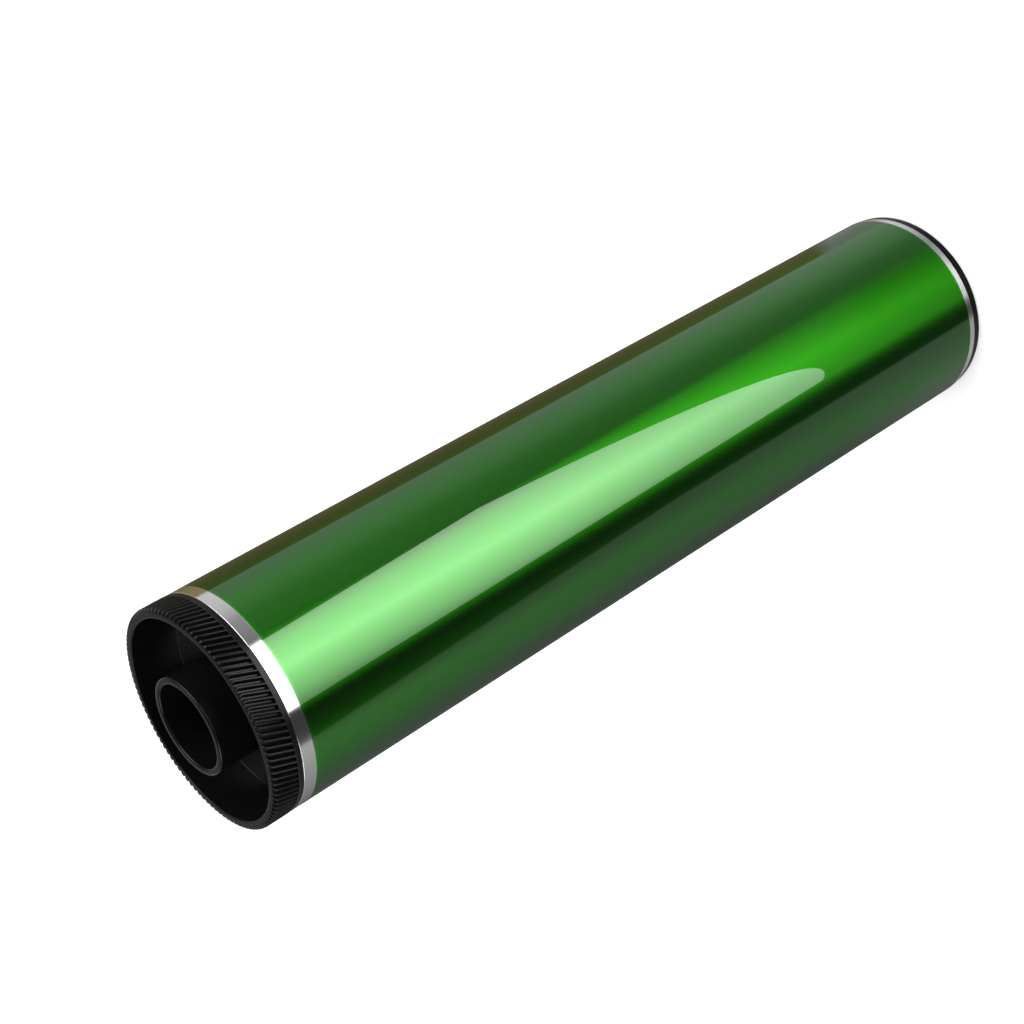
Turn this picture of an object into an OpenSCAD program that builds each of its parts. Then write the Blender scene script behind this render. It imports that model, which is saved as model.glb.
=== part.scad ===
// Photoconductor drum for a copier or laser printer: an aluminium tube with a
// green coating, closed at each end by a moulded flange that is bonded in.
// It stands on its plain end. +Z runs along the axis to the geared end, and the
// origin is the centre of the face that it stands on.

/* [Tube] */
// Outer diameter of the bare tube
tube_od = 84; // [70:0.5:100]
// Wall of the tube
tube_wall = 1.5; // [1:0.1:2.5]
// Length of the tube between its two cut ends
tube_len = 364.5; // [250:0.5:450]
// Chamfer that breaks the inner edge at each end of the tube
tube_chamfer = 0.3; // [0.1:0.1:0.5]

/* [Photoconductor coating] */
// Thickness of the dipped coating
coat_t = 0.05; // [0.03:0.01:0.2]
// Bare band that is wiped clean at the geared end
bare_geared = 5; // [2:0.5:15]
// Bare band that is wiped clean at the plain end
bare_plain = 3; // [2:0.5:15]

/* [Drive gear] */
// Number of teeth
gear_teeth = 107; // [90:1:120]
// How far the tips of the teeth stand proud of the tube
gear_proud = 0.1; // [0:0.1:2]
// Helix angle at the pitch circle, right-hand
gear_helix = 20; // [0:1:30]
// Transverse pressure angle of the flanks
gear_pressure = 20; // [14.5:0.5:22]
// Length of the teeth along the axis
gear_w = 9.8; // [6:0.1:16]
// Radius that rounds the tips off at the front of the gear
tooth_round = 1.5; // [0.4:0.1:1.6]
// Width of the plain ring between the teeth and the tube
back_ring_w = 2.1; // [1:0.1:5]

/* [Flanges] */
// Wall of each cup, between the tube and the recess
cup_wall = 2; // [1.5:0.1:4]
// Thickness of the web that closes each recess
web_t = 2.5; // [1.5:0.1:5]
// Fillet round the floor of each recess
web_fillet = 1.5; // [0.3:0.1:3]
// Radial gap between each cup and the tube, filled by adhesive
bond_gap = 0.05; // [0.02:0.01:0.2]
// Lead-in chamfer at the inner end of each cup
lead_in = 0.8; // [0.2:0.1:1.2]
// Bore through each hub
hub_bore_d = 32; // [20:0.5:40]
// Wall of each hub
hub_wall = 2.5; // [1.5:0.1:4]
// Chamfer on the edges of each hub
hub_chamfer = 0.5; // [0.1:0.1:0.7]

/* [Geared flange] */
// Depth of the recess behind the front face of the rim
recess_depth = 19; // [14:0.5:30]
// How far the hub stands out of the rim's front face
hub_proud = 4.3; // [0:0.1:10]
// Rounding on both edges of the hub's front
hub_round = 1; // [0.2:0.1:1.2]
// How far the hub and the skirt run on behind the web
geared_back = 4.5; // [3:0.5:12]
// Stiffening ribs behind the web
rib_count = 6; // [3:1:12]
// Thickness of each rib
rib_t = 1.6; // [1:0.1:3]
// Height of each rib above the web
rib_h = 3; // [1:0.5:3]

/* [Plain flange] */
// Step from the tube's outside in to the lip
lip_step = 0.5; // [0.1:0.1:0.8]
// Thickness of the lip that covers the tube's end
lip_t = 4.5; // [1.5:0.1:6]
// Rounding on the lip's outer edge
lip_round = 1; // [0.2:0.1:1.2]
// Length of the cup that is bonded into the tube
plain_cup = 14; // [10:0.5:40]
// How far the hub runs on behind the web
plain_back = 4; // [2:0.5:12]

/* [Earth plate] */
// Thickness of the stamped strip
earth_t = 0.4; // [0.2:0.05:0.8]
// Width of the ring around the hub
earth_ring_w = 7; // [5.5:0.5:9]
// Gap between the ring and the hub
earth_hub_gap = 0.3; // [0.1:0.1:1]
// Arms that reach out to the tube
earth_arms = 3; // [2:1:4]
// Width of each arm
earth_arm_w = 8; // [4:0.5:12]
// Depth of the notch that leaves two biting spurs on each arm
spur_notch = 3; // [1:0.5:5]
// Gap between the spurs and the tube
spur_gap = 0.05; // [0.02:0.01:0.2]
// Diameter of the shaft that the contact springs touch
shaft_d = 26; // [16:0.5:30]
// Width of each contact spring
spring_w = 5; // [3:0.5:8]
// Gap between a spring and the end of the hub that it reaches over
spring_gap = 1.5; // [0.5:0.1:4]

/* [Pegs] */
// Pegs that rivet the earth plate down
peg_count = 3; // [2:1:4]
// Diameter of a peg
peg_d = 2.6; // [2:0.1:3]
// Gap between a peg and its hole
peg_gap = 0.1; // [0.05:0.05:0.3]
// Diameter of a peg's formed head
peg_head_d = 4.6; // [4:0.1:5.4]
// Height of a peg's formed head
peg_head_h = 1; // [0.5:0.1:1.5]

/* [Hidden] */
$fn = 96;

tube_r = tube_od / 2;
tube_ri = tube_r - tube_wall;
cup_ro = tube_ri - bond_gap;
cup_ri = cup_ro - cup_wall;
hub_ri = hub_bore_d / 2;
hub_ro = hub_ri + hub_wall;

// Heights of the tube's two cut ends above the face that the drum stands on
z_plain_end = lip_t;
z_geared_end = z_plain_end + tube_len;

// Gear proportions, with standard addendum and dedendum
tip_r = tube_r + gear_proud;
gear_module = 2 * tip_r / (gear_teeth / cos(gear_helix) + 2);
pitch_r = tip_r - gear_module;
root_r = pitch_r - 1.25 * gear_module;
turn_per_mm = tan(gear_helix) / pitch_r * 180 / PI;

// How deep the feet of the teeth are sunk into the rim
tooth_sink = 0.4;
// Steps along the straight part of a tooth, and round its tip
tooth_steps = 3;
round_steps = 2;
// Steps in a rounded corner of a moulding
corner_steps = 5;

// Heights on the geared flange, above the tube's end
rim_front = back_ring_w + gear_w;
recess_floor = rim_front - recess_depth;
geared_web = recess_floor - web_t;
geared_end = geared_web - geared_back;
hub_front = rim_front + hub_proud;

// Rounding of the hub's front that leaves a flat between its two edges on a thin wall
nose_round = min(hub_round, 0.4 * hub_wall);

// Heights on the plain flange, above the tube's end
plain_web = plain_cup - web_t;
plain_end = plain_cup + plain_back;

// Radius that the pegs stand at, in the middle of the plate's ring
earth_ri = hub_ro + earth_hub_gap;
earth_ro = earth_ri + earth_ring_w;
peg_at_r = (earth_ri + earth_ro) / 2;

// Points along an arc from one angle to another, in the plane of a section
function arc(centre, r, from, to, steps = corner_steps) =
    [for (k = [0 : steps])
        let (a = from + (to - from) * k / steps)
            centre + r * [cos(a), sin(a)]];

// The aluminium tube, with its inner edges broken
module drum_tube() {
    color([0.83, 0.83, 0.84])
        translate([0, 0, z_plain_end])
            rotate_extrude()
                polygon([
                    [tube_ri + tube_chamfer, 0],
                    [tube_r, 0],
                    [tube_r, tube_len],
                    [tube_ri + tube_chamfer, tube_len],
                    [tube_ri, tube_len - tube_chamfer],
                    [tube_ri, tube_chamfer]
                ]);
}

// The photoconductor, a thin sleeve that leaves a bare band at each end
module photoconductor_coating() {
    color([0.05, 0.42, 0.09])
        translate([0, 0, z_plain_end + bare_plain])
            rotate_extrude()
                translate([tube_r, 0])
                    square([coat_t, tube_len - bare_plain - bare_geared]);
}

// Half the thickness of a tooth at a radius, as an angle seen from the axis
function tooth_half(r) =
    (gear_module / cos(gear_helix) * PI / 4 - (r - pitch_r) * tan(gear_pressure)) / r * 180 / PI;

// Stations along a tooth, each a height and the radius of the tip there
tooth_stations = concat(
    [for (k = [0 : tooth_steps]) [(gear_w - tooth_round) * k / tooth_steps, tip_r]],
    [for (k = [1 : round_steps])
        let (a = 90 * k / round_steps)
            [gear_w - tooth_round + tooth_round * sin(a), tip_r - tooth_round * (1 - cos(a))]]
);

// Four corners of a tooth at one station: foot, tip, tip, foot
function tooth_corners(middle, station) =
    [for (c = [[root_r - tooth_sink, -1], [station[1], -1], [station[1], 1], [root_r - tooth_sink, 1]])
        let (a = middle + station[0] * turn_per_mm + c[1] * tooth_half(c[0]))
            [c[0] * cos(a), c[0] * sin(a), station[0]]];

// All the helical teeth, each a closed skin around its stations
module gear_teeth_ring() {
    count = len(tooth_stations);
    points = [
        for (i = [0 : gear_teeth - 1])
            for (s = tooth_stations)
                each tooth_corners(i * 360 / gear_teeth, s)
    ];
    faces = [
        for (i = [0 : gear_teeth - 1])
            let (first = i * count * 4)
                each concat(
                    [[for (c = [0 : 3]) first + c]],
                    [for (k = [0 : count - 2])
                        for (c = [0 : 3])
                            let (d = (c + 1) % 4, low = first + k * 4)
                                [low + d, low + c, low + c + 4, low + d + 4]],
                    [[for (c = [3 : -1 : 0]) first + (count - 1) * 4 + c]]
                )
    ];
    translate([0, 0, back_ring_w])
        polyhedron(points, faces);
}

// Section of the geared flange, from its shoulder on the tube round to its hub
module gear_flange_section() {
    polygon(concat(
        [
            [tube_r, 0],
            [tube_r, back_ring_w],
            [root_r, back_ring_w],
            [root_r, rim_front],
            [cup_ri, rim_front]
        ],
        arc([cup_ri - web_fillet, recess_floor + web_fillet], web_fillet, 0, -90),
        arc([hub_ro + web_fillet, recess_floor + web_fillet], web_fillet, -90, -180),
        arc([hub_ro - nose_round, hub_front - nose_round], nose_round, 0, 90),
        arc([hub_ri + nose_round, hub_front - nose_round], nose_round, 90, 180),
        [
            [hub_ri, geared_end + hub_chamfer],
            [hub_ri + hub_chamfer, geared_end],
            [hub_ro, geared_end],
            [hub_ro, geared_web],
            [cup_ri, geared_web],
            [cup_ri, geared_end],
            [cup_ro - lead_in, geared_end],
            [cup_ro, geared_end + lead_in],
            [cup_ro, 0]
        ]
    ));
}

// Ribs behind the geared flange's web, from the hub to the skirt
module geared_ribs() {
    for (i = [0 : rib_count - 1])
        rotate([0, 0, i * 360 / rib_count])
            translate([hub_ro - hub_wall / 2, -rib_t / 2, geared_web - rib_h])
                cube([cup_ri + cup_wall / 2 - hub_ro + hub_wall / 2, rib_t, rib_h + web_t / 2]);
}

// The geared flange, one moulding with its gear, recess, hub and ribs
module gear_flange() {
    color([0.07, 0.07, 0.075])
        translate([0, 0, z_geared_end]) {
            rotate_extrude()
                gear_flange_section();
            gear_teeth_ring();
            geared_ribs();
        }
}

// Section of the plain flange, from its lip round to the inside of its cup
module plain_flange_section() {
    lip_r = tube_r - lip_step;
    polygon(concat(
        [
            [cup_ro, 0],
            [lip_r, 0]
        ],
        arc([lip_r - lip_round, lip_round - lip_t], lip_round, 0, -90),
        [[cup_ri, -lip_t]],
        arc([cup_ri - web_fillet, plain_web - web_fillet], web_fillet, 0, 90),
        arc([hub_ro + web_fillet, plain_web - web_fillet], web_fillet, 90, 180),
        [
            [hub_ro, hub_chamfer - lip_t],
            [hub_ro - hub_chamfer, -lip_t],
            [hub_ri + hub_chamfer, -lip_t],
            [hub_ri, hub_chamfer - lip_t],
            [hub_ri, plain_end - hub_chamfer],
            [hub_ri + hub_chamfer, plain_end],
            [hub_ro, plain_end],
            [hub_ro, plain_cup],
            [cup_ro - lead_in, plain_cup],
            [cup_ro, plain_cup - lead_in]
        ]
    ));
}

// A peg through the earth plate, with its head formed down onto the plate
module peg() {
    rotate_extrude()
        polygon(concat(
            [[0, -web_t / 2], [peg_d / 2, -web_t / 2], [peg_d / 2, earth_t], [peg_head_d / 2, earth_t]],
            [for (k = [1 : corner_steps])
                let (a = 90 * k / corner_steps)
                    [peg_head_d / 2 * cos(a), earth_t + peg_head_h * sin(a)]]
        ));
}

// Places its children on the web at each peg, half a pitch away from the arms
module at_pegs() {
    for (i = [0 : peg_count - 1])
        rotate([0, 0, (i + 0.5) * 360 / peg_count])
            translate([peg_at_r, 0, plain_cup])
                children();
}

// The plain flange, one moulding with its lip, cup, hub and pegs
module plain_flange() {
    color([0.07, 0.07, 0.075])
        translate([0, 0, z_plain_end]) {
            rotate_extrude()
                plain_flange_section();
            at_pegs()
                peg();
        }
}

// Flat outline of the earth plate: a ring, and arms that end in two spurs
module earth_outline() {
    spur_r = tube_ri - spur_gap;
    difference() {
        union() {
            circle(r = earth_ro);
            intersection() {
                circle(r = spur_r);
                for (i = [0 : earth_arms - 1])
                    rotate(i * 360 / earth_arms)
                        translate([0, -earth_arm_w / 2])
                            square([tube_r, earth_arm_w]);
            }
        }
        circle(r = earth_ri);
        for (i = [0 : earth_arms - 1])
            rotate(i * 360 / earth_arms)
                polygon([
                    [spur_r - spur_notch, 0],
                    [tube_r, -earth_arm_w / 2],
                    [tube_r, earth_arm_w / 2]
                ]);
    }
}

// A contact spring, bent up past the hub's end and in over it to the shaft
module contact_spring() {
    rise = plain_back + spring_gap + earth_t;
    foot = (earth_ri + earth_ro) / 2;
    tip = shaft_d / 2;
    translate([0, spring_w / 2, 0])
        rotate([90, 0, 0])
            linear_extrude(spring_w)
                polygon([
                    [foot, 0],
                    [foot, earth_t],
                    [earth_ri + earth_t, earth_t],
                    [earth_ri + earth_t, rise],
                    [tip + earth_t, rise],
                    [tip + earth_t, rise + spring_gap],
                    [tip, rise + spring_gap],
                    [tip, rise - earth_t],
                    [earth_ri, rise - earth_t],
                    [earth_ri, 0]
                ]);
}

// The earth plate, stamped from spring steel, that ties the tube to the shaft
module earth_plate() {
    color([0.7, 0.7, 0.68])
        translate([0, 0, z_plain_end]) {
            difference() {
                translate([0, 0, plain_cup])
                    linear_extrude(earth_t)
                        earth_outline();
                at_pegs()
                    translate([0, 0, -earth_t])
                        cylinder(d = peg_d + 2 * peg_gap, h = 3 * earth_t);
            }
            for (side = [0, 180])
                rotate([0, 0, side + 90])
                    translate([0, 0, plain_cup])
                        contact_spring();
        }
}

drum_tube();
photoconductor_coating();
gear_flange();
plain_flange();
earth_plate();
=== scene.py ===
"""Dresses a photoconductor drum: bright tube, green coating, black geared and plain flanges.

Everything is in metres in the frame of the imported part: the drum stands on its plain end,
+Z runs along its axis to the geared end, and the camera looks from the -Y side.
"""

import logging
import math
from collections.abc import Callable, Iterable, Sequence
from dataclasses import dataclass
from enum import Enum
from typing import Any

import bmesh
import bpy
from mathutils import Matrix, Quaternion, Vector


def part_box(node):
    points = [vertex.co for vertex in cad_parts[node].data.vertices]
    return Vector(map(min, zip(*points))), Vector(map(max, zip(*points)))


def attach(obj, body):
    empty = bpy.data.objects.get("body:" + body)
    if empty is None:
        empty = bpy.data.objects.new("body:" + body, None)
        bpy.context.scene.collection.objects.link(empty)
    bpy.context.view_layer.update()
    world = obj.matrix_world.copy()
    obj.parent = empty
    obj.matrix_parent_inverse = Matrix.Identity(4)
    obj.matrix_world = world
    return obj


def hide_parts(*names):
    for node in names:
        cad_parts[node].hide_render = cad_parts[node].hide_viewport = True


LOG = logging.getLogger("drum")
MM = 0.001
BODY = "root"

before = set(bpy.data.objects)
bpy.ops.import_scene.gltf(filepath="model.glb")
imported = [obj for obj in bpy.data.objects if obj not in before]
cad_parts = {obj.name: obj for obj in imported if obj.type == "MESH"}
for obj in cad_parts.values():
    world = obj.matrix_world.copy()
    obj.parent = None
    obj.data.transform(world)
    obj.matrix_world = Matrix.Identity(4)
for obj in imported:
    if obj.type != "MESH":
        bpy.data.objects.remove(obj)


class Slot(Enum):
    """Material slots of the record, one for each finish; dress() takes one but doesn't read it."""

    TUBE = "tube_aluminium"
    COATING = "green_coating"
    MOULDING = "black_moulding"
    SPRING = "spring_steel"


@dataclass(frozen=True)
class Corner:
    """One corner of a turned section, in millimetres.

    Attributes:
        r: distance from the axis.
        z: height above the piece's own datum.
        rounding: radius that the corner is rounded to, 0 for a sharp one.
    """

    r: float
    z: float
    rounding: float = 0.0


def deselect() -> None:
    """Leaves nothing selected."""
    bpy.ops.object.select_all(action="DESELECT")


def pick(*objects: bpy.types.Object) -> None:
    """Selects only these objects and makes the first one active.

    Args:
        objects: the objects to select.
    """
    deselect()
    for obj in objects:
        obj.select_set(True)
    bpy.context.view_layer.objects.active = objects[0]


def select_where(obj: bpy.types.Object, kind: str, wanted: Callable[[Vector], bool]) -> int:
    """Selects the faces, edges or vertices whose middle passes a test. Edit mode must be on.

    Args:
        obj: the object in edit mode.
        kind: "faces", "edges" or "verts".
        wanted: says whether an element's middle belongs to the selection.

    Returns:
        How many elements were selected.
    """
    mode = {"faces": "FACE", "edges": "EDGE", "verts": "VERT"}[kind]
    bpy.ops.mesh.select_mode(type=mode)
    bpy.ops.mesh.select_all(action="DESELECT")
    mesh = bmesh.from_edit_mesh(obj.data)
    count = 0
    for element in getattr(mesh, kind):
        if kind == "verts":
            middle = element.co
        else:
            middle = sum((v.co for v in element.verts), Vector()) / len(element.verts)
        if wanted(middle):
            element.select = True
            count += 1
    mesh.select_flush_mode()
    bmesh.update_edit_mesh(obj.data)
    return count


def rounded(corners: Sequence[Corner], steps: int = 4) -> list[tuple[float, float]]:
    """Replaces each rounded corner of a closed section by points along its arc.

    A holding point stands just before and after each arc, so that smooth shading
    doesn't bend the light on the long faces beside it.

    Args:
        corners: the section's corners, in order round it.
        steps: straight steps in each arc.

    Returns:
        Points (r, z) in millimetres.
    """
    places = [Vector((corner.r, corner.z)) for corner in corners]
    cuts: list[float] = []
    for i, here in enumerate(places):
        back, ahead = places[i - 1] - here, places[(i + 1) % len(places)] - here
        cuts.append(corners[i].rounding / math.tan(back.angle(ahead) / 2) if corners[i].rounding > 0 else 0.0)
    points: list[tuple[float, float]] = []
    for i, corner in enumerate(corners):
        here = places[i]
        if corner.rounding <= 0:
            points.append((here.x, here.y))
            continue
        before, after = i - 1, (i + 1) % len(corners)
        back, ahead = (places[before] - here).normalized(), (places[after] - here).normalized()
        half = back.angle(ahead) / 2
        middle = here + (back + ahead).normalized() * (corner.rounding / math.sin(half))
        start, end = here + back * cuts[i], here + ahead * cuts[i]
        room_back = (places[before] - here).length - cuts[i] - cuts[before]
        room_ahead = (places[after] - here).length - cuts[i] - cuts[after]
        hold = start + back * min(0.4 * corner.rounding, 0.3 * room_back)
        points.append((hold.x, hold.y))
        turn = (start - middle).angle_signed(end - middle)
        for k in range(steps + 1):
            spoke = start - middle
            spoke.rotate(Matrix.Rotation(-turn * k / steps, 2))
            points.append((middle.x + spoke.x, middle.y + spoke.y))
        hold = end + ahead * min(0.4 * corner.rounding, 0.3 * room_ahead)
        points.append((hold.x, hold.y))
    return points


def turn_section(name: str, corners: Sequence[Corner], datum_mm: float, steps: int) -> bpy.types.Object:
    """Draws a closed section by extruding a vertex from corner to corner, and spins it round Z.

    Args:
        name: name of the new object.
        corners: the section's corners, in order round it.
        datum_mm: height that the corners' z is counted from.
        steps: steps in the full turn.

    Returns:
        The new object, with its place in its mesh.
    """
    outline = [Vector((r * MM, 0, (z + datum_mm) * MM)) for r, z in rounded(corners)]
    deselect()
    bpy.ops.mesh.primitive_plane_add(size=MM, location=(0, 0, 0))
    obj = bpy.context.object
    obj.name = name
    bpy.ops.object.mode_set(mode="EDIT")
    bpy.ops.mesh.select_mode(type="VERT")
    bpy.ops.mesh.select_all(action="SELECT")
    bpy.ops.mesh.merge(type="CENTER")
    bpy.ops.transform.translate(value=outline[0])
    for here, there in zip(outline, outline[1:] + outline[:1]):
        bpy.ops.mesh.extrude_vertices_move(TRANSFORM_OT_translate={"value": there - here})
    bpy.ops.mesh.select_all(action="SELECT")
    bpy.ops.mesh.remove_doubles(threshold=1e-7)
    bpy.ops.mesh.select_all(action="SELECT")
    bpy.ops.mesh.spin(steps=steps, angle=math.tau, center=(0, 0, 0), axis=(0, 0, 1))
    bpy.ops.mesh.select_all(action="SELECT")
    bpy.ops.mesh.remove_doubles(threshold=1e-6)
    bpy.ops.mesh.normals_make_consistent(inside=False)
    bpy.ops.object.mode_set(mode="OBJECT")
    return obj


def join(name: str, *objects: bpy.types.Object) -> bpy.types.Object:
    """Joins objects into one.

    Args:
        name: name of the joined object.
        objects: the objects, of which the first takes in the others.

    Returns:
        The joined object.
    """
    pick(*objects)
    bpy.ops.object.join()
    joined = bpy.context.object
    joined.name = name
    return joined


def weld(target: bpy.types.Object, tool: bpy.types.Object, operation: str) -> None:
    """Unites a tool with a piece, or cuts it out of the piece, and removes the tool.

    Args:
        target: the piece that is changed.
        tool: the object that is added or cut out.
        operation: "UNION" or "DIFFERENCE".
    """
    pick(target)
    modifier = target.modifiers.new("weld", "BOOLEAN")
    modifier.operation = operation
    modifier.solver = "MANIFOLD"
    modifier.object = tool
    bpy.ops.object.modifier_apply(modifier=modifier.name)
    bpy.data.objects.remove(tool)
    bpy.ops.object.mode_set(mode="EDIT")
    bpy.ops.mesh.select_mode(type="VERT")
    bpy.ops.mesh.select_all(action="SELECT")
    bpy.ops.mesh.remove_doubles(threshold=1e-6)
    bpy.ops.mesh.dissolve_degenerate(threshold=1e-6)
    bpy.ops.object.mode_set(mode="OBJECT")


def smooth(obj: bpy.types.Object, angle_deg: float = 30.0) -> None:
    """Shades a piece smooth, apart from edges sharper than an angle.

    Args:
        obj: the piece.
        angle_deg: the angle, in degrees.
    """
    pick(obj)
    bpy.ops.object.shade_smooth_by_angle(angle=math.radians(angle_deg))


def ring_copies(obj: bpy.types.Object, count: int) -> list[bpy.types.Object]:
    """Copies a piece evenly round the Z axis, each copy with its own mesh.

    Args:
        obj: the first piece, which is kept.
        count: pieces in the full turn.

    Returns:
        All the pieces, the first one included.
    """
    pieces = [obj]
    for i in range(1, count):
        copy = obj.copy()
        copy.data = obj.data.copy()
        copy.data.transform(Matrix.Rotation(math.tau * i / count, 4, "Z"))
        bpy.context.scene.collection.objects.link(copy)
        pieces.append(copy)
    return pieces


@dataclass(frozen=True)
class Sizes:
    """Driving sizes of the drum in millimetres, as in the part's source."""

    tube_r: float = 42.0
    tube_wall: float = 1.5
    tube_chamfer: float = 0.3
    coat_t: float = 0.05
    bare_geared: float = 5.0
    bare_plain: float = 3.0
    cup_wall: float = 2.0
    bond_gap: float = 0.05
    web_t: float = 2.5
    web_fillet: float = 1.5
    lead_in: float = 0.8
    hub_ri: float = 16.0
    hub_wall: float = 2.5
    hub_chamfer: float = 0.5

    @property
    def tube_ri(self) -> float:
        """Inner radius of the tube."""
        return self.tube_r - self.tube_wall

    @property
    def cup_ro(self) -> float:
        """Outer radius of the cups that are bonded into the tube."""
        return self.tube_ri - self.bond_gap

    @property
    def cup_ri(self) -> float:
        """Radius of the recesses."""
        return self.cup_ro - self.cup_wall

    @property
    def hub_ro(self) -> float:
        """Outer radius of the hubs."""
        return self.hub_ri + self.hub_wall

    @property
    def plain_end(self) -> float:
        """Height of the tube's lower end."""
        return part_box("drum_tube")[0].z / MM

    @property
    def geared_end(self) -> float:
        """Height of the tube's upper end."""
        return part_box("drum_tube")[1].z / MM


class Shade:
    """One value in a material's node tree, with arithmetic that adds Math nodes."""

    def __init__(self, tree: bpy.types.NodeTree, socket: Any) -> None:
        """Wraps an output socket.

        Args:
            tree: the node tree that the socket is in.
            socket: the output socket.
        """
        self.tree = tree
        self.socket = socket

    def _math(self, operation: str, *values: "Shade | float", clamp: bool = False) -> "Shade":
        """Adds a Math node.

        Args:
            operation: the node's operation.
            values: its inputs, in order.
            clamp: whether the result is held between 0 and 1.

        Returns:
            The node's result.
        """
        made = self.tree.nodes.new("ShaderNodeMath")
        made.operation = operation
        made.use_clamp = clamp
        for i, value in enumerate(values):
            if isinstance(value, Shade):
                self.tree.links.new(value.socket, made.inputs[i])
            else:
                made.inputs[i].default_value = value
        return Shade(self.tree, made.outputs[0])

    def __add__(self, other: "Shade | float") -> "Shade":
        """Sum."""
        return self._math("ADD", self, other)

    def __radd__(self, other: float) -> "Shade":
        """Sum with a number on the left."""
        return self._math("ADD", other, self)

    def __sub__(self, other: "Shade | float") -> "Shade":
        """Difference."""
        return self._math("SUBTRACT", self, other)

    def __rsub__(self, other: float) -> "Shade":
        """Difference from a number on the left."""
        return self._math("SUBTRACT", other, self)

    def __mul__(self, other: "Shade | float") -> "Shade":
        """Product."""
        return self._math("MULTIPLY", self, other)

    def __rmul__(self, other: float) -> "Shade":
        """Product with a number on the left."""
        return self._math("MULTIPLY", other, self)

    def __truediv__(self, other: "Shade | float") -> "Shade":
        """Quotient."""
        return self._math("DIVIDE", self, other)

    def __pow__(self, other: float) -> "Shade":
        """Power."""
        return self._math("POWER", self, other)

    def __gt__(self, other: "Shade | float") -> "Shade":
        """1 where this is greater, else 0."""
        return self._math("GREATER_THAN", self, other)

    def __lt__(self, other: "Shade | float") -> "Shade":
        """1 where this is less, else 0."""
        return self._math("LESS_THAN", self, other)

    def __abs__(self) -> "Shade":
        """Absolute value."""
        return self._math("ABSOLUTE", self)

    def angle_from(self, other: "Shade") -> "Shade":
        """Arctangent of this over another value, in radians."""
        return self._math("ARCTAN2", self, other)

    def arcsine(self) -> "Shade":
        """Angle in radians that has this sine."""
        return self._math("ARCSINE", self)

    def clamped(self) -> "Shade":
        """This value held between 0 and 1."""
        return self._math("ADD", self, 0.0, clamp=True)

    def between(self, low: float, high: float, soft: float) -> "Shade":
        """1 inside a range of this value and 0 outside, with soft edges.

        Args:
            low: lower end of the range.
            high: upper end of the range.
            soft: width of each edge.

        Returns:
            The mask.
        """
        rise = self._math("MULTIPLY", self - (low - soft / 2), 1 / soft, clamp=True)
        fall = self._math("MULTIPLY", (high + soft / 2) - self, 1 / soft, clamp=True)
        return rise * fall


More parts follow.
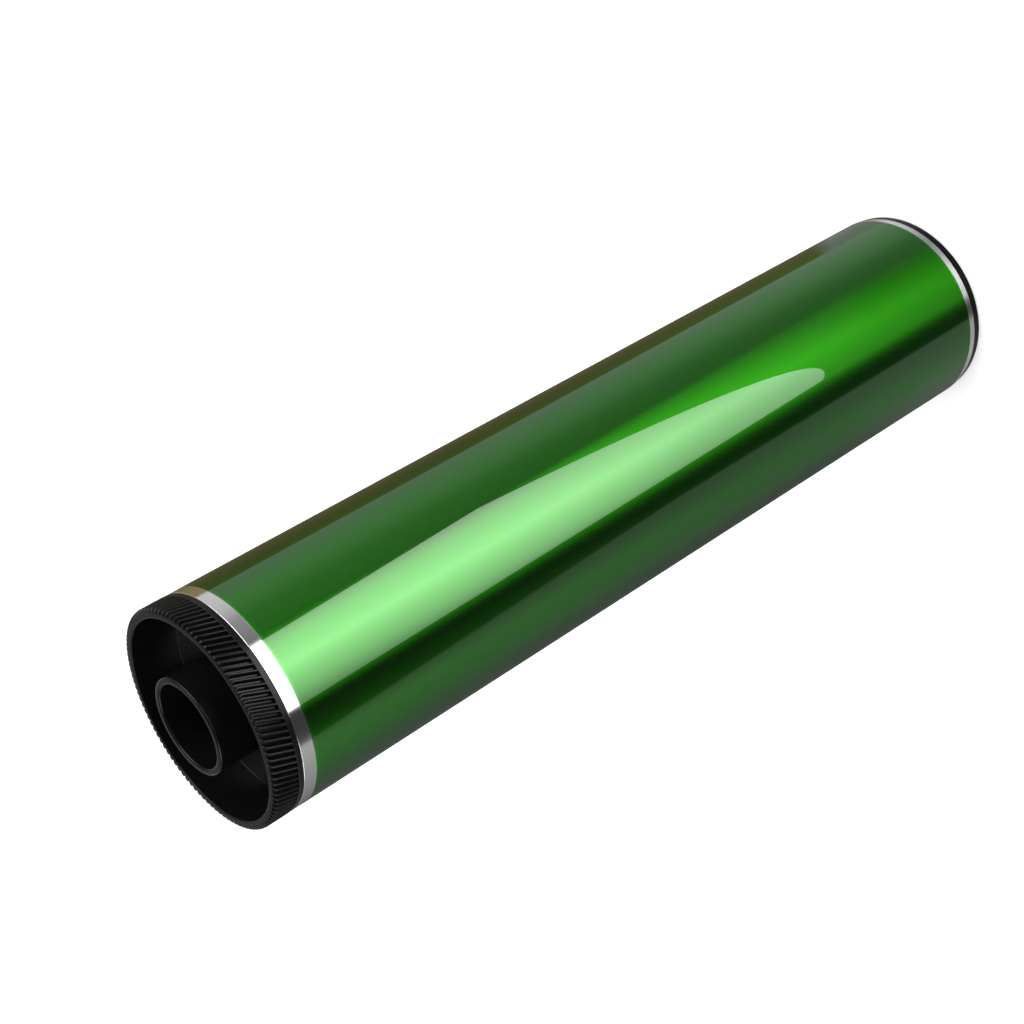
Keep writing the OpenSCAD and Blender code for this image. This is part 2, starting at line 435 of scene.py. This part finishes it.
class Graph:
    """A node tree being filled in, for a material or the world."""

    def __init__(self, owner: bpy.types.Material | bpy.types.World) -> None:
        """Empties the owner's node tree.

        Args:
            owner: the material or world.
        """
        owner.use_nodes = True
        self.tree = owner.node_tree
        self.tree.nodes.clear()

    def node(self, kind: str, settings: dict[str, Any] | None = None, **inputs: Any) -> bpy.types.Node:
        """Adds any node: its settings first, then the values or links of its sockets.

        Args:
            kind: the node's type, without the ShaderNode prefix.
            settings: attributes such as operation, or stops for a colour ramp.
            inputs: socket values, or Shade values to link, by the socket's name with _ for a space.

        Returns:
            The new node.
        """
        made = self.tree.nodes.new("ShaderNode" + kind)
        for key, value in (settings or {}).items():
            if key == "stops":
                self._stops(made.color_ramp, value)
            elif key == "interpolation" and kind == "ValToRGB":
                made.color_ramp.interpolation = value
            else:
                setattr(made, key, value)
        for key, value in inputs.items():
            self.feed(made, key.replace("_", " "), value)
        return made

    def feed(self, made: bpy.types.Node, name: str, value: Any) -> None:
        """Sets or links one input socket.

        Args:
            made: the node.
            name: the socket's name.
            value: a number, tuple, Shade or output socket.
        """
        live = [s for s in made.inputs if s.name == name and s.enabled] or [made.inputs[name]]
        socket = live[0]
        if isinstance(value, Shade):
            self.tree.links.new(value.socket, socket)
        elif isinstance(value, bpy.types.NodeSocket):
            self.tree.links.new(value, socket)
        else:
            socket.default_value = value

    @staticmethod
    def _stops(ramp: bpy.types.ColorRamp, stops: Iterable[tuple[float, tuple[float, ...]]]) -> None:
        """Writes a colour ramp's stops.

        Args:
            ramp: the ramp.
            stops: each a place from 0 to 1 and a colour of three numbers.
        """
        wanted = list(stops)
        while len(ramp.elements) < len(wanted):
            ramp.elements.new(1.0)
        for element, (place, colour) in zip(ramp.elements, wanted):
            element.position = place
            element.color = (*colour, 1.0)

    def value(self, made: bpy.types.Node, output: str | int = 0) -> Shade:
        """Wraps a node's output as a value."""
        return Shade(self.tree, made.outputs[output])

    def place(self) -> tuple[Shade, Shade, Shade]:
        """The point's X, Y and Z on the piece, in metres."""
        coords = self.node("TexCoord")
        split = self.node("SeparateXYZ", Vector=coords.outputs["Object"])
        return tuple(self.value(split, axis) for axis in ("X", "Y", "Z"))

    def vector(self, x: Shade | float, y: Shade | float, z: Shade | float) -> Any:
        """Combines three values into a vector socket."""
        return self.node("CombineXYZ", X=x, Y=y, Z=z).outputs[0]

    def noise(self, vector: Any, scale: float, detail: float = 2.0) -> Shade:
        """Noise from 0 to 1.

        Args:
            vector: the place that it is read at.
            scale: cells per unit of the place.
            detail: octaves.

        Returns:
            The noise.
        """
        return self.value(self.node("TexNoise", Vector=vector, Scale=scale, Detail=detail), "Fac")

    def ramp(self, factor: Shade, stops: Iterable[tuple[float, tuple[float, ...]]]) -> Any:
        """Turns a value into a colour by a ramp.

        Args:
            factor: the value, from 0 to 1.
            stops: the ramp's stops.

        Returns:
            The colour's socket.
        """
        return self.node("ValToRGB", {"stops": stops}, Fac=factor).outputs["Color"]

    def mix(self, factor: Shade | float, first: Any, second: Any) -> Any:
        """Mixes two colours, each a tuple or a socket."""
        made = self.node("Mix", {"data_type": "RGBA"}, Factor=factor, A=first, B=second)
        return made.outputs["Result"] if made.outputs["Result"].enabled else made.outputs[2]

    def bump(self, height: Shade, distance_mm: float, strength: float = 1.0) -> Any:
        """Turns a height into a normal.

        Args:
            height: the height, in steps of the distance.
            distance_mm: what a height of 1 stands for.
            strength: share of the effect.

        Returns:
            The normal's socket.
        """
        return self.node("Bump", Height=height, Distance=distance_mm * MM, Strength=strength).outputs[0]

    def surface(self, **inputs: Any) -> bpy.types.Node:
        """Ends the tree in a Principled shader.

        Args:
            inputs: the shader's sockets, as for node().

        Returns:
            The shader node.
        """
        shader = self.node("BsdfPrincipled", None, **inputs)
        out = self.node("OutputMaterial")
        self.tree.links.new(shader.outputs[0], out.inputs["Surface"])
        return shader


def new_material(name: str) -> tuple[bpy.types.Material, Graph]:
    """Starts a material.

    Args:
        name: its name.

    Returns:
        The material and its empty node tree.
    """
    made = bpy.data.materials.new(name)
    return made, Graph(made)


@dataclass(frozen=True)
class BrightAluminium:
    """Drawn and turned aluminium, close to a mirror, with fine lines round the tube."""

    tint: tuple[float, float, float] = (0.88, 0.88, 0.885)
    roughness: float = 0.16
    lines_per_m: float = 9000.0

    def material(self) -> bpy.types.Material:
        """Makes the material."""
        made, graph = new_material("bright_aluminium")
        x, y, z = graph.place()
        lines = graph.noise(graph.vector(x * 6.0, y * 6.0, z * self.lines_per_m), 1.0, 3.0)
        cloud = graph.noise(graph.vector(x, y, z), 60.0, 3.0)
        colour = graph.mix(cloud, tuple(0.93 * c for c in self.tint) + (1,), self.tint + (1,))
        graph.surface(
            Base_Color=colour,
            Metallic=1.0,
            Roughness=self.roughness - 0.08 * (z > 0.2) + 0.04 * lines + 0.02 * (cloud - 0.5),
            Anisotropic=1.0,
            Anisotropic_Rotation=0.25,
            Normal=graph.bump(lines, 0.002, 0.35),
        )
        return made


@dataclass(frozen=True)
class GreenCoating:
    """Green photoconductor over turned aluminium, under a clear gloss."""

    green: tuple[float, float, float] = (0.0147, 0.18, 0.003)
    grazing: tuple[float, float, float] = (0.08, 0.3, 0.06)
    edge: tuple[float, float, float] = (0.06, 0.33, 0.04)
    roughness: float = 0.25
    edge_mm: float = 0.7

    def material(self, low: float, high: float) -> bpy.types.Material:
        """Makes the material.

        Args:
            low: height of the coating's lower edge, in metres.
            high: height of its upper edge, in metres.

        Returns:
            The material.
        """
        made, graph = new_material("green_coating")
        x, y, z = graph.place()
        turning = graph.noise(graph.vector(x * 8.0, y * 8.0, z * 2600.0), 1.0, 4.0)
        cloud = graph.noise(graph.vector(x, y, z * 0.3), 25.0, 3.0)
        body = graph.mix(
            cloud * 0.5 + turning * 0.2,
            tuple(0.86 * c for c in self.green) + (1,),
            tuple(1.12 * c for c in self.green) + (1,),
        )
        thin = 1 - z.between(low + self.edge_mm * MM, high - self.edge_mm * MM, self.edge_mm * MM)
        graph.surface(
            Base_Color=graph.mix(thin * 0.6, body, self.edge + (1,)),
            Metallic=1.0,
            Roughness=self.roughness + 0.03 * (turning - 0.5),
            Anisotropic=1.0,
            Anisotropic_Rotation=0.25,
            Specular_Tint=self.grazing + (1,),
            Coat_Weight=1.0,
            Coat_Roughness=0.015,
            Coat_IOR=1.62,
        )
        return made


@dataclass(frozen=True)
class BlackMoulding:
    """Fairly glossy black plastic with the fine texture of a mould."""

    black: tuple[float, float, float] = (0.002, 0.002, 0.0023)
    roughness: float = 0.24

    def material(self) -> bpy.types.Material:
        """Makes the material."""
        made, graph = new_material("black_moulding")
        x, y, z = graph.place()
        here = graph.vector(x, y, z)
        grain = graph.noise(here, 5200.0, 3.0)
        flow = graph.noise(here, 130.0, 4.0)
        colour = graph.mix(flow, self.black + (1,), tuple(1.8 * c for c in self.black) + (1,))
        graph.surface(
            Base_Color=colour,
            Roughness=self.roughness + 0.10 * (flow - 0.5) + 0.04 * grain,
            Specular_IOR_Level=0.2,
            Normal=graph.bump(grain, 0.006, 0.4),
        )
        return made


@dataclass(frozen=True)
class SpringSteel:
    """Thin rolled strip, with the lines of its rolling along X."""

    tint: tuple[float, float, float] = (0.62, 0.61, 0.58)

    def material(self) -> bpy.types.Material:
        """Makes the material."""
        made, graph = new_material("spring_steel")
        x, y, z = graph.place()
        lines = graph.noise(graph.vector(x * 40.0, y * 5000.0, z * 5000.0), 1.0, 3.0)
        colour = graph.mix(lines, tuple(0.8 * c for c in self.tint) + (1,), self.tint + (1,))
        graph.surface(
            Base_Color=colour,
            Metallic=1.0,
            Roughness=0.28 + 0.12 * lines,
            Normal=graph.bump(lines, 0.003, 0.3),
        )
        return made


def dress(obj: bpy.types.Object, made: bpy.types.Material, slot: Slot, *nodes: str) -> None:
    """Gives a new piece its finish, and puts it in the place of CAD nodes.

    Args:
        obj: the piece.
        made: its material.
        slot: not used (the record's slot that the finish stands for).
        nodes: the CAD nodes that it replaces.
    """
    obj.data.materials.clear()
    obj.data.materials.append(made)
    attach(obj, BODY)
    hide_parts(*nodes)
    LOG.info("%s: %d faces, stands for %s", obj.name, len(obj.data.polygons), ", ".join(nodes))


@dataclass
class Tube:
    """The aluminium tube, with broken edges at both cut ends."""

    sizes: Sizes
    steps: int = 512
    outer_break: float = 0.12

    def build(self) -> bpy.types.Object:
        """Turns the tube's section, and dresses it."""
        s = self.sizes
        length = s.geared_end - s.plain_end
        corners = [
            Corner(s.tube_ri, 0, s.tube_chamfer),
            Corner(s.tube_r, 0, self.outer_break),
            Corner(s.tube_r, length, self.outer_break),
            Corner(s.tube_ri, length, s.tube_chamfer),
        ]
        tube = turn_section("aluminium_tube", corners, s.plain_end, self.steps)
        smooth(tube)
        dress(tube, BrightAluminium().material(), Slot.TUBE, "drum_tube")
        return tube


@dataclass
class Coating:
    """The photoconductor's thin sleeve, with an edge that thins out at each end."""

    sizes: Sizes
    steps: int = 512

    def build(self) -> bpy.types.Object:
        """Turns the sleeve's section, and dresses it."""
        s = self.sizes
        low, high = s.plain_end + s.bare_plain, s.geared_end - s.bare_geared
        edge = s.coat_t * 0.9
        corners = [
            Corner(s.tube_r, 0),
            Corner(s.tube_r + s.coat_t, 0, edge),
            Corner(s.tube_r + s.coat_t, high - low, edge),
            Corner(s.tube_r, high - low),
        ]
        sleeve = turn_section("green_sleeve", corners, low, self.steps)
        smooth(sleeve)
        made = GreenCoating().material(low * MM, high * MM)
        dress(sleeve, made, Slot.COATING, "photoconductor_coating")
        return sleeve


@dataclass
class GearedFlange:
    """The geared flange: gear, plain ring, rim, recess, hub and bonded cup."""

    sizes: Sizes
    teeth: int = 107
    gear_proud: float = 0.099
    helix_deg: float = 20.0
    pressure_deg: float = 20.0
    gear_w: float = 9.8
    tooth_round: float = 1.1
    tip_break: float = 0.16
    tooth_sink: float = 0.5
    back_ring_w: float = 2.1
    recess_depth: float = 19.0
    hub_proud: float = 4.3
    geared_back: float = 4.5
    rib_count: int = 6
    rib_t: float = 1.6
    rib_h: float = 3.0
    nose_round: float = 0.6
    floor_round: float = 0.25

    @property
    def tip_r(self) -> float:
        """Radius of the tooth tips."""
        return self.sizes.tube_r + self.gear_proud

    @property
    def module(self) -> float:
        """Normal module."""
        return 2 * self.tip_r / (self.teeth / math.cos(math.radians(self.helix_deg)) + 2)

    @property
    def pitch_r(self) -> float:
        """Pitch radius."""
        return self.tip_r - self.module

    @property
    def root_r(self) -> float:
        """Radius between the teeth."""
        return self.pitch_r - 1.25 * self.module

    def tooth_half(self, r: float) -> float:
        """Half a tooth's thickness at a radius, in millimetres."""
        full = self.module / math.cos(math.radians(self.helix_deg)) * math.pi / 2
        return full / 2 - (r - self.pitch_r) * math.tan(math.radians(self.pressure_deg))

    def section(self) -> list[Corner]:
        """Corners of the moulding's section, counted from the tube's end."""
        s = self.sizes
        rim_front = self.back_ring_w + self.gear_w
        floor = rim_front - self.recess_depth
        web = floor - s.web_t
        end = web - self.geared_back
        hub_front = rim_front + self.hub_proud
        return [
            Corner(s.tube_r, 0, 0.15),
            Corner(s.tube_r, self.back_ring_w, 0.15),
            Corner(self.root_r, self.back_ring_w, 0.1),
            Corner(self.root_r, rim_front, 0.5),
            Corner(s.cup_ri, rim_front, 0.35),
            Corner(s.cup_ri, floor, self.floor_round),
            Corner(s.hub_ro, floor, self.floor_round),
            Corner(s.hub_ro, hub_front, self.nose_round),
            Corner(s.hub_ri, hub_front, self.nose_round),
            Corner(s.hub_ri, end, s.hub_chamfer),
            Corner(s.hub_ro, end, 0.3),
            Corner(s.hub_ro, web, 0.4),
            Corner(s.cup_ri, web, 0.4),
            Corner(s.cup_ri, end, 0.3),
            Corner(s.cup_ro, end, s.lead_in),
            Corner(s.cup_ro, 0),
        ]

    def tooth(self) -> bpy.types.Object:
        """Shapes one tooth from a block: flanks, broken tip edges, rounded front, helix."""
        foot_r = self.root_r - self.tooth_sink
        depth = self.tip_r - foot_r
        foot = 2 * self.tooth_half(foot_r) * MM
        base = (self.sizes.geared_end + self.back_ring_w) * MM
        deselect()
        bpy.ops.mesh.primitive_cube_add(
            size=1.0,
            location=((foot_r + depth / 2) * MM, 0, base + self.gear_w / 2 * MM),
            scale=(depth * MM, foot, self.gear_w * MM),
        )
        obj = bpy.context.object
        bpy.ops.object.transform_apply(location=True, rotation=True, scale=True)
        bpy.ops.object.mode_set(mode="EDIT")
        middle = (foot_r + depth / 2) * MM
        select_where(obj, "faces", lambda p: p.x > self.tip_r * MM - 1e-7)
        taper = self.tooth_half(self.tip_r) / self.tooth_half(foot_r)
        bpy.ops.transform.resize(value=(1, taper, 1), center_override=(0, 0, 0))
        front = base + self.gear_w * MM
        select_where(obj, "edges", lambda p: p.x > middle and abs(p.z - front) < 1e-7 and abs(p.y) < 1e-7)
        bpy.ops.mesh.bevel(offset=self.tooth_round * MM, segments=3, affect="EDGES")
        select_where(
            obj, "edges", lambda p: p.x > middle and abs(p.y) > 0.25 * foot * taper and p.x > foot_r * MM + depth * 0.6 * MM
        )
        bpy.ops.mesh.bevel(offset=self.tip_break * MM, segments=1, affect="EDGES")
        for k in (1, 2):
            bpy.ops.mesh.select_mode(type="FACE")
            bpy.ops.mesh.select_all(action="SELECT")
            bpy.ops.mesh.bisect(
                plane_co=(0, 0, base + (self.gear_w - self.tooth_round) * k / 3 * MM), plane_no=(0, 0, 1)
            )
        bpy.ops.object.mode_set(mode="OBJECT")
        self.twist(obj, base)
        return obj

    def twist(self, obj: bpy.types.Object, base: float) -> None:
        """Turns a tooth's points round the axis in step with their height, right-hand.

        Args:
            obj: the tooth.
            base: the height where the turn is nought, in metres.
        """
        per_m = math.tan(math.radians(self.helix_deg)) / (self.pitch_r * MM)
        for vertex in obj.data.vertices:
            angle = (vertex.co.z - base) * per_m
            vertex.co = Matrix.Rotation(angle, 3, "Z") @ vertex.co

    def ribs(self) -> bpy.types.Object:
        """Makes the ribs behind the web as one object."""
        s = self.sizes
        web = s.geared_end + self.back_ring_w + self.gear_w - self.recess_depth - s.web_t
        inner, outer = s.hub_ro - s.hub_wall / 2, s.cup_ri + s.cup_wall / 2
        deselect()
        bpy.ops.mesh.primitive_cube_add(
            size=1.0,
            location=((inner + outer) / 2 * MM, 0, (web + (s.web_t / 2 - self.rib_h) / 2) * MM),
            scale=((outer - inner) * MM, self.rib_t * MM, (self.rib_h + s.web_t / 2) * MM),
        )
        rib = bpy.context.object
        bpy.ops.object.transform_apply(location=True, rotation=True, scale=True)
        bpy.ops.object.mode_set(mode="EDIT")
        low = (web - self.rib_h) * MM
        select_where(rib, "edges", lambda p: abs(p.z - low) < 1e-7 and abs(p.y) > 1e-5)
        bpy.ops.mesh.bevel(offset=0.3 * MM, segments=2, affect="EDGES")
        bpy.ops.object.mode_set(mode="OBJECT")
        return join("ribs", *ring_copies(rib, self.rib_count))

    def build(self, made: bpy.types.Material) -> bpy.types.Object:
        """Turns the body, welds on teeth and ribs, and dresses it."""
        flange = turn_section("geared_flange_moulding", self.section(), self.sizes.geared_end, self.teeth * 4)
        weld(flange, join("teeth", *ring_copies(self.tooth(), self.teeth)), "UNION")
        weld(flange, self.ribs(), "UNION")
        smooth(flange, 24.0)
        dress(flange, made, Slot.MOULDING, "gear_flange")
        return flange


@dataclass
class PlainFlange:
    """The plain flange: lip, recess, hub, bonded cup and the pegs of the earth plate."""

    sizes: Sizes
    steps: int = 384
    lip_step: float = 0.5
    lip_t: float = 4.4995
    lip_round: float = 1.0
    cup: float = 14.0
    back: float = 4.0
    peg_count: int = 3
    peg_at_r: float = 22.3
    peg_d: float = 2.6
    peg_head_d: float = 4.6
    peg_head_h: float = 1.0
    earth_t: float = 0.4

    def section(self) -> list[Corner]:
        """Corners of the moulding's section, counted from the tube's end."""
        s = self.sizes
        web = self.cup - s.web_t
        lip_r = s.tube_r - self.lip_step
        return [
            Corner(s.cup_ro, 0),
            Corner(lip_r, 0, 0.1),
            Corner(lip_r, -self.lip_t, self.lip_round),
            Corner(s.cup_ri, -self.lip_t, 0.3),
            Corner(s.cup_ri, web, s.web_fillet),
            Corner(s.hub_ro, web, s.web_fillet),
            Corner(s.hub_ro, -self.lip_t, s.hub_chamfer),
            Corner(s.hub_ri, -self.lip_t, s.hub_chamfer),
            Corner(s.hub_ri, self.cup + self.back, s.hub_chamfer),
            Corner(s.hub_ro, self.cup + self.back, 0.3),
            Corner(s.hub_ro, self.cup),
            Corner(s.cup_ro, self.cup, s.lead_in),
        ]

    def peg(self) -> bpy.types.Object:
        """Shapes one peg: a shank, and a domed head that is spread and drawn in from its top face."""
        low = self.sizes.plain_end + self.cup - self.sizes.web_t / 2
        length = self.sizes.web_t / 2 + self.earth_t
        shank, head = self.peg_d / 2, self.peg_head_d / 2
        deselect()
        bpy.ops.mesh.primitive_cylinder_add(
            vertices=24, radius=shank * MM, depth=length * MM, location=(0, 0, (low + length / 2) * MM)
        )
        peg = bpy.context.object
        bpy.ops.object.transform_apply(location=True, rotation=True, scale=True)
        bpy.ops.object.mode_set(mode="EDIT")
        top = low + length
        select_where(peg, "faces", lambda p: p.z > (top - 0.01) * MM)
        reached, height = shank, 0.0
        for radius, rise in ((head, 0.0), (0.97 * head, 0.3), (0.8 * head, 0.62), (0.5 * head, 0.88), (0.15 * head, 1.0)):
            up = (rise - height) * self.peg_head_h * MM
            bpy.ops.mesh.extrude_region_move(TRANSFORM_OT_translate={"value": (0, 0, up)})
            bpy.ops.transform.resize(value=(radius / reached, radius / reached, 1), center_override=(0, 0, 0))
            reached, height = radius, rise
        bpy.ops.object.mode_set(mode="OBJECT")
        turn = Matrix.Rotation(math.pi / self.peg_count, 4, "Z")
        peg.data.transform(turn @ Matrix.Translation((self.peg_at_r * MM, 0, 0)))
        return peg

    def build(self, made: bpy.types.Material) -> bpy.types.Object:
        """Turns the body, welds on the pegs, and dresses it."""
        flange = turn_section("plain_flange_moulding", self.section(), self.sizes.plain_end, self.steps)
        weld(flange, join("pegs", *ring_copies(self.peg(), self.peg_count)), "UNION")
        smooth(flange)
        dress(flange, made, Slot.MOULDING, "plain_flange")
        return flange


@dataclass(frozen=True)
class Studio:
    """Floor, surroundings, soft light and camera, with the photograph's view of the drum.

    The drum's side mirrors what lies below the level of the camera, so the floor is hidden
    from reflections, and the soft box stands lower than the drum.
    """

    eye_mm: tuple[float, float, float] = (0.0, -594.2, 610.3)
    aim_mm: tuple[float, float, float] = (7.33, -29.3, 250.2)
    roll_deg: float = -120.17
    lens_mm: float = 65.67
    box_power: float = 6.6
    level: tuple[float, float, float] = (0.7, 0.7, 0.7)
    flag: tuple[float, float, float] = (0.04, 0.04, 0.04)
    overhead: tuple[float, float, float] = (0.11, 0.11, 0.115)
    lamps: tuple[float, float, float] = (5.5, 5.5, 5.6)
    plain: tuple[float, float, float] = (0.85, 0.85, 0.85)

    def camera(self) -> None:
        """Puts the camera where the photograph was taken from."""
        data = bpy.data.cameras.new("camera")
        data.lens = self.lens_mm
        data.sensor_width = 36.0
        data.clip_start, data.clip_end = 0.01, 100.0
        cam = bpy.data.objects.new("camera", data)
        bpy.context.scene.collection.objects.link(cam)
        eye, aim = Vector(self.eye_mm) * MM, Vector(self.aim_mm) * MM
        look = (aim - eye).to_track_quat("-Z", "Y")
        cam.rotation_mode = "QUATERNION"
        cam.location = eye
        cam.rotation_quaternion = look @ Quaternion((0, 0, 1), math.radians(self.roll_deg))
        bpy.context.scene.camera = cam

    def floor(self) -> None:
        """Lays a pale floor that is white to the camera, apart from a soft shadow."""
        deselect()
        bpy.ops.mesh.primitive_plane_add(size=20.0, location=(0, 0, 0))
        floor = bpy.context.object
        floor.name = "floor"
        made, graph = new_material("pale_floor")
        path = graph.node("LightPath")
        diffuse = graph.node("BsdfDiffuse", None, Color=(0.8, 0.8, 0.8, 1))
        glow = graph.node("Emission", None, Color=(1, 1, 1, 1), Strength=graph.value(path, "Is Camera Ray") * 0.3)
        both = graph.node("AddShader")
        graph.tree.links.new(diffuse.outputs[0], both.inputs[0])
        graph.tree.links.new(glow.outputs[0], both.inputs[1])
        under = graph.node("MixShader", None, Fac=graph.node("NewGeometry").outputs["Backfacing"])
        graph.tree.links.new(both.outputs[0], under.inputs[1])
        graph.tree.links.new(graph.node("BsdfTransparent").outputs[0], under.inputs[2])
        out = graph.node("OutputMaterial")
        graph.tree.links.new(under.outputs[0], out.inputs["Surface"])
        floor.data.materials.append(made)
        floor.visible_glossy = False
        floor.visible_shadow = False

    def surroundings(self) -> None:
        """Fills the world: white to the camera, plain to matt faces, and banded to glossy ones."""
        world = bpy.data.worlds.new("studio")
        bpy.context.scene.world = world
        graph = Graph(world)
        coords = graph.node("TexCoord")
        split = graph.node("SeparateXYZ", Vector=coords.outputs["Generated"])
        x, y, z = (graph.value(split, axis) for axis in ("X", "Y", "Z"))
        azimuth = x.angle_from(y * -1.0) * (180 / math.pi)
        height = z.arcsine() * (180 / math.pi)
        slant = 15.0 * (((-23.0) - height) / 14.0).clamped() * (azimuth < -30.0)
        place = (azimuth - slant) / 360.0 + 0.5
        near = graph.ramp(place, [(0.5 + a / 360, c) for a, c in self.bands(True)])
        far = graph.ramp(place, [(0.5 + a / 360, c) for a, c in self.bands(False)])
        edge = height.between(-44.6, 90, 0.6) * (azimuth > 0.0) + height.between(-45.5, 90, 7.0) * (azimuth < 0.0)
        low = graph.mix(edge, far, near)
        flag = azimuth.between(-72, -34, 6.0)
        around = graph.mix(flag, self.level + (1,), self.flag + (1,))
        level = graph.mix(height.between(-16, 90, 8.0), low, around)
        whole = graph.mix(height.between(17, 90, 10.0), level, self.overhead + (1,))
        right = azimuth.between(36, 100, 10.0) * height.between(15, 60, 8.0)
        left = azimuth.between(-112, -66, 8.0) * height.between(14, 38, 6.0)
        lit = graph.mix((right + left).clamped(), whole, self.lamps + (1,))
        path = graph.node("LightPath")
        matt = graph.mix(graph.value(path, "Is Diffuse Ray"), lit, self.plain + (1,))
        seen = graph.mix(graph.value(path, "Is Camera Ray"), matt, (1, 1, 1, 1))
        back = graph.node("Background", None, Color=seen, Strength=1.0)
        out = graph.node("OutputWorld")
        graph.tree.links.new(back.outputs[0], out.inputs["Surface"])

    @staticmethod
    def bands(shaded: bool) -> list[tuple[float, tuple[float, float, float]]]:
        """Lists the light and dark below the drum, all round it.

        Args:
            shaded: whether the dim brown strip behind the drum is there.

        Returns:
            Azimuths in degrees from the camera's side towards +X, each with its colour.
        """
        if shaded:
            brown = ((0.25, 0.2, 0.09), (0.2, 0.16, 0.08), (0.13, 0.11, 0.075))
            beyond = ((0.13,) * 3, (0.25,) * 3, (0.29,) * 3)
            ahead = (0.12,) * 3
        else:
            brown = ((0.5,) * 3, (0.36,) * 3, (0.2,) * 3)
            beyond = ((0.3,) * 3, (0.42,) * 3, (0.36,) * 3)
            ahead = (0.06,) * 3
        return [
            (-180, (0.08,) * 3),
            (-160, beyond[0]),
            (-124, beyond[1]),
            (-103, beyond[2]),
            (-73, (0.40,) * 3),
            (-70, (0.045,) * 3),
            (-35, (0.045,) * 3),
            (-33, ahead),
            (33, ahead),
            (50, (0.2,) * 3),
            (64, (0.25,) * 3),
            (80, (0.47,) * 3),
            (92, (0.55,) * 3),
            (116.5, (0.62,) * 3),
            (117.5, brown[0]),
            (150, brown[1]),
            (165, brown[2]),
            (180, (0.08,) * 3),
        ]

    def soft_box(self) -> None:
        """Hangs the large soft box that the coating mirrors, hottest along its middle."""
        deselect()
        bpy.ops.mesh.primitive_plane_add(size=1.0, location=(0, 0, 0))
        box = bpy.context.object
        box.name = "soft_box"
        toward = Vector((0.025, -0.770, -0.638)).normalized()
        across = Vector((0, 0, 1)).cross(toward).normalized()
        along = toward.cross(across)
        middle = Vector((0, 0, 244 * MM)) + toward * 1.0
        corners = ((-0.349, -0.191), (0.645, 0.062), (-1.29, 1.1), (0.478, 1.1))
        for vertex, (a, b) in zip(box.data.vertices, corners):
            vertex.co = middle + across * a + along * b
        made, graph = new_material("soft_box_glow")
        geometry = graph.node("TexCoord")
        place = graph.node("VectorMath", {"operation": "DOT_PRODUCT"})
        graph.tree.links.new(geometry.outputs["Object"], place.inputs[0])
        place.inputs[1].default_value = across
        offset = graph.value(place, "Value") - middle.dot(across)
        ramp = graph.node(
            "ValToRGB",
            {"stops": [(0.0, (0.28,) * 3), (0.35, (0.62,) * 3), (0.52, (0.85,) * 3), (0.7, (0.73,) * 3), (1.0, (0.6,) * 3)]},
            Fac=offset / 1.3 + 0.5,
        )
        rise = graph.node("VectorMath", {"operation": "DOT_PRODUCT"})
        graph.tree.links.new(geometry.outputs["Object"], rise.inputs[0])
        rise.inputs[1].default_value = along
        high = ((graph.value(rise, "Value") - middle.dot(along) + 0.06) / 0.16).clamped()
        glow = graph.node("Emission", None, Color=ramp.outputs["Color"], Strength=self.box_power * (0.8 + 0.14 * high))
        out = graph.node("OutputMaterial")
        graph.tree.links.new(glow.outputs[0], out.inputs["Surface"])
        box.data.materials.append(made)
        box.visible_camera = False
        box.visible_shadow = False

    def top_light(self) -> None:
        """Hangs a large soft lamp overhead, for the standing drum's soft shadow."""
        data = bpy.data.lights.new("top_lamp", "AREA")
        data.shape = "DISK"
        data.size = 1.6
        data.energy = 14.0
        lamp = bpy.data.objects.new("top_lamp", data)
        lamp.location = (0.5, 0.4, 1.9)
        lamp.rotation_mode = "QUATERNION"
        lamp.rotation_quaternion = (-lamp.location).to_track_quat("-Z", "Y")
        lamp.visible_camera = False
        lamp.visible_glossy = False
        bpy.context.scene.collection.objects.link(lamp)

    def build(self) -> None:
        """Sets up the whole studio."""
        bpy.context.scene.view_settings.view_transform = "Standard"
        self.camera()
        self.floor()
        self.surroundings()
        self.soft_box()
        self.top_light()


def main() -> None:
    """Builds the drum's pieces in order, then the studio."""
    logging.basicConfig(level=logging.INFO, format="%(name)s: %(message)s")
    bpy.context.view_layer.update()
    sizes = Sizes()
    Tube(sizes).build()
    Coating(sizes).build()
    black = BlackMoulding().material()
    GearedFlange(sizes).build(black)
    PlainFlange(sizes).build(black)
    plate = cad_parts["earth_plate"]
    plate.data.materials.clear()
    plate.data.materials.append(SpringSteel().material())
    Studio().build()


if __name__ == "__main__":
    main()
